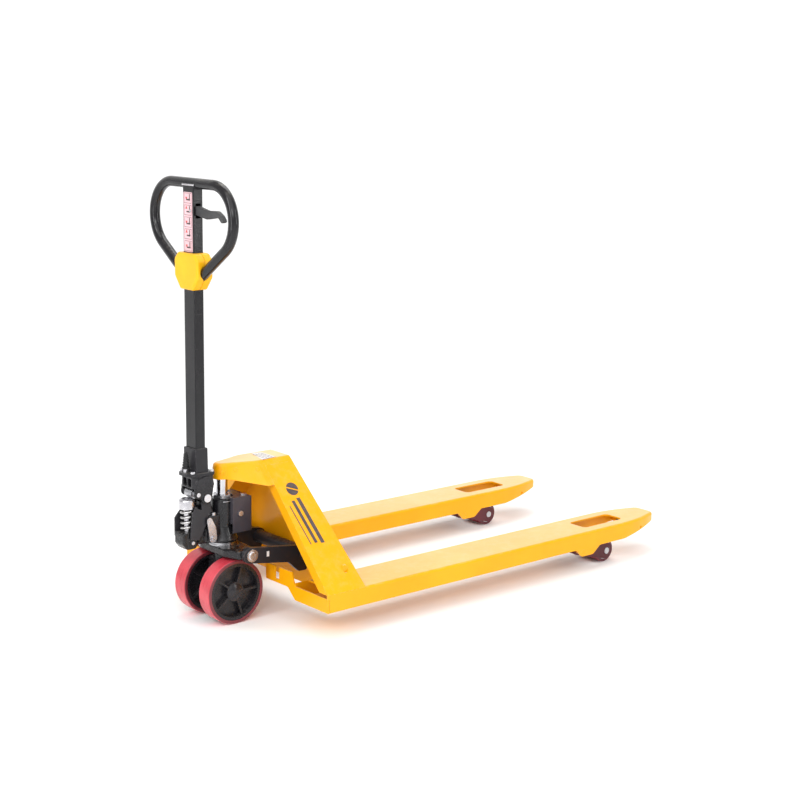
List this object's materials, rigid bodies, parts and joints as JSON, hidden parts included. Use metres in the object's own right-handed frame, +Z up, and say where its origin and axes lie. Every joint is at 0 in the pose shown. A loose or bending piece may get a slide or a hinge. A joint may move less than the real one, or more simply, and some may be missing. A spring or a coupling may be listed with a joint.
{
  "type": "pallet jack",
  "caption": "Hand pallet truck: long forks on a sloping bulkhead frame, lifted by a hydraulic pump with a loop steering handle; rollers under the fork tips, steer wheels under the pump.",
  "frame": {"origin": "on the floor, in the middle of the bounding box's length and width", "axes": "+X towards the fork tips, +Y to the left of someone at the handle who looks along the forks, +Z up"},
  "size_m": [1.595, 0.685, 1.213],
  "materials": {
    "yellow_paint": "gloss powder coat",
    "yellow_plastic": "moulded, satin",
    "dark_paint": "satin black paint over cast and welded steel",
    "black_nylon": "moulded, fine grain",
    "red_tread": "cast polyurethane",
    "steel": "turned",
    "zinc": "bright zinc plate",
    "chrome": "hard chrome, ground",
    "spring_steel": "oiled wire"
  },
  "bodies": {
    "base": {"pump_seat": "dark_paint", "seat_pins": "steel", "thrust_bearing": "steel"},
    "frame": {"nose_cap": "yellow_paint", "load_plate": "yellow_paint", "side_panel_left": "yellow_paint", "side_panel_right": "yellow_paint", "heel_plate_left": "yellow_paint", "heel_plate_right": "yellow_paint", "fork_left": "yellow_paint", "fork_right": "yellow_paint", "rocker_shaft": "yellow_paint", "fork_pins": "yellow_paint"},
    "entry_left": {"entry_roller_left": "black_nylon"},
    "entry_right": {"entry_roller_right": "black_nylon"},
    "rocker": {"torsion_tube": "dark_paint", "rocker_arm_left": "dark_paint", "rocker_arm_right": "dark_paint", "crank_pins": "steel"},
    "rod_left": {"push_rod_left": "dark_paint"},
    "rod_right": {"push_rod_right": "dark_paint"},
    "bracket_left": {"roller_bracket_left": "dark_paint", "bracket_pins_left": "steel"},
    "bracket_right": {"roller_bracket_right": "dark_paint", "bracket_pins_right": "steel"},
    "roller_left": {"load_roller_hub_left": "steel", "load_roller_tread_left": "red_tread"},
    "roller_right": {"load_roller_hub_right": "steel", "load_roller_tread_right": "red_tread"},
    "steer_unit": {"pump_casting": "dark_paint", "cheek_plates": "dark_paint", "reservoir": "dark_paint", "gland_nut": "steel", "pump_bolts": "zinc", "steer_axle": "steel", "pivot_pin": "steel", "pump_spring": "spring_steel"},
    "wheel_left": {"steer_tread_left": "red_tread", "steer_hub_left": "black_nylon", "steer_bearings_left": "steel"},
    "wheel_right": {"steer_tread_right": "red_tread", "steer_hub_right": "black_nylon", "steer_bearings_right": "steel"},
    "ram": {"ram": "chrome"},
    "piston": {"piston": "zinc"},
    "valve_lever": {"valve_lever": "zinc"},
    "handle": {"handle_base": "dark_paint", "pole_foot": "dark_paint", "foot_bolts": "zinc", "rubber_buffer": "black_nylon", "pole": "dark_paint", "handle_loop": "dark_paint", "hub_cover_front": "yellow_plastic", "hub_cover_rear": "yellow_plastic", "hub_screws": "zinc", "handle_pins": "steel"},
    "press_roller": {"press_roller": "steel"},
    "control_lever": {"control_lever": "black_nylon"},
    "pull_rod": {"pull_rod": "steel"}
  },
  "joints": [
    {"name": "lift", "type": "slide", "parent": "base", "child": "frame", "axis": [0, 0, 1], "range_m": [-0.039, 0.076]},
    {"name": "rocker_turn", "type": "hinge", "parent": "frame", "child": "rocker", "pos_m": [-0.4595, 0, 0.17], "axis": [0, 1, 0], "range_deg": [-24, 13]},
    {"name": "push_rod_left", "type": "slide", "parent": "frame", "child": "rod_left", "axis": [1, 0, 0], "range_m": [-0.014, 0.027]},
    {"name": "bracket_left", "type": "hinge", "parent": "frame", "child": "bracket_left", "pos_m": [0.43283, 0.2675, 0.062], "axis": [0, 1, 0], "range_deg": [-18.5, 35.5]},
    {"name": "load_roller_left", "type": "hinge", "parent": "bracket_left", "child": "roller_left", "pos_m": [0.5655, 0.2675, 0.037], "axis": [0, 1, 0], "continuous": true},
    {"name": "entry_roller_left", "type": "hinge", "parent": "frame", "child": "entry_left", "pos_m": [0.7075, 0.2675, 0.09168], "axis": [0, 1, 0], "continuous": true},
    {"name": "push_rod_right", "type": "slide", "parent": "frame", "child": "rod_right", "axis": [1, 0, 0], "range_m": [-0.014, 0.027]},
    {"name": "bracket_right", "type": "hinge", "parent": "frame", "child": "bracket_right", "pos_m": [0.43283, -0.2675, 0.062], "axis": [0, 1, 0], "range_deg": [-18.5, 35.5]},
    {"name": "load_roller_right", "type": "hinge", "parent": "bracket_right", "child": "roller_right", "pos_m": [0.5655, -0.2675, 0.037], "axis": [0, 1, 0], "continuous": true},
    {"name": "entry_roller_right", "type": "hinge", "parent": "frame", "child": "entry_right", "pos_m": [0.7075, -0.2675, 0.09168], "axis": [0, 1, 0], "continuous": true},
    {"name": "steer", "type": "hinge", "parent": "base", "child": "steer_unit", "pos_m": [-0.6575, 0, 0.213], "axis": [0, 0, 1], "range_deg": [-75, 75]},
    {"name": "steer_wheel_left", "type": "hinge", "parent": "steer_unit", "child": "wheel_left", "pos_m": [-0.6695, 0.06, 0.09], "axis": [0, 1, 0], "continuous": true},
    {"name": "steer_wheel_right", "type": "hinge", "parent": "steer_unit", "child": "wheel_right", "pos_m": [-0.6695, -0.06, 0.09], "axis": [0, 1, 0], "continuous": true},
    {"name": "ram_slide", "type": "slide", "parent": "steer_unit", "child": "ram", "axis": [0, 0, 1], "range_m": [-0.039, 0.076]},
    {"name": "handle_tilt", "type": "hinge", "parent": "steer_unit", "child": "handle", "pos_m": [-0.7295, 0, 0.355], "axis": [0, -1, 0], "range_deg": [0, 70], "stiffness_Nm_per_rad": 30, "springref_deg": -11.46},
    {"name": "piston_slide", "type": "slide", "parent": "steer_unit", "child": "piston", "axis": [0, 0, -1], "range_m": [0, 0.035], "deforming": ["pump_spring"]},
    {"name": "valve_turn", "type": "hinge", "parent": "steer_unit", "child": "valve_lever", "pos_m": [-0.7095, -0.0345, 0.238], "axis": [0, 1, 0], "range_deg": [-13, 13]},
    {"name": "press_roller_turn", "type": "hinge", "parent": "handle", "child": "press_roller", "pos_m": [-0.7555, 0, 0.367], "axis": [0, 1, 0], "continuous": true},
    {"name": "lever_turn", "type": "hinge", "parent": "handle", "child": "control_lever", "pos_m": [-0.7405, -0.012, 1.128], "axis": [1, 0, 0], "range_deg": [-12, 12]},
    {"name": "pull_rod_slide", "type": "slide", "parent": "handle", "child": "pull_rod", "axis": [0, 0, 1], "range_m": [-0.0035, 0.0035]}
  ],
  "couplings": [
    {"joint": "rocker_turn", "follows": "lift", "rad_per_m": -5.385},
    {"joint": "push_rod_left", "follows": "lift", "ratio": 0.346},
    {"joint": "push_rod_right", "follows": "lift", "ratio": 0.346},
    {"joint": "bracket_left", "follows": "lift", "rad_per_m": 7.941},
    {"joint": "bracket_right", "follows": "lift", "rad_per_m": 7.941},
    {"joint": "ram_slide", "follows": "lift", "ratio": 1},
    {"joint": "piston_slide", "follows": "handle_tilt", "m_per_rad": 0.02807},
    {"joint": "pull_rod_slide", "follows": "lever_turn", "m_per_rad": 0.015},
    {"joint": "valve_turn", "follows": "lever_turn", "ratio": -1}
  ]
}
